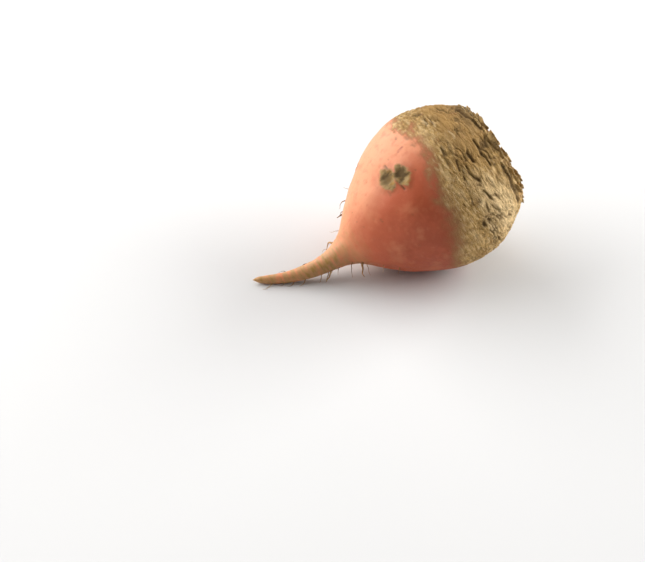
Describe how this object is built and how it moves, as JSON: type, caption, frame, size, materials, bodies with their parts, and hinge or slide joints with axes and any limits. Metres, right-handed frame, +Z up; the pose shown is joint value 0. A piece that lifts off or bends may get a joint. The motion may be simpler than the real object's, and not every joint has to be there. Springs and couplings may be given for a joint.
{
  "type": "beetroot",
  "caption": "Whole golden beetroot lying on its side: round pink and tan root with a corky, trimmed crown and a tapering taproot",
  "frame": {"origin": "bottom centre of the bounding box, on the surface that the root lies on", "axes": "+X along the root's length towards its crown, +Z up as it lies, +Y to the left seen from the tail"},
  "size_m": [0.1282, 0.0764, 0.0751],
  "materials": {
    "skin": "satin"
  },
  "bodies": {
    "root": {"beetroot": "skin"}
  },
  "joints": []
}
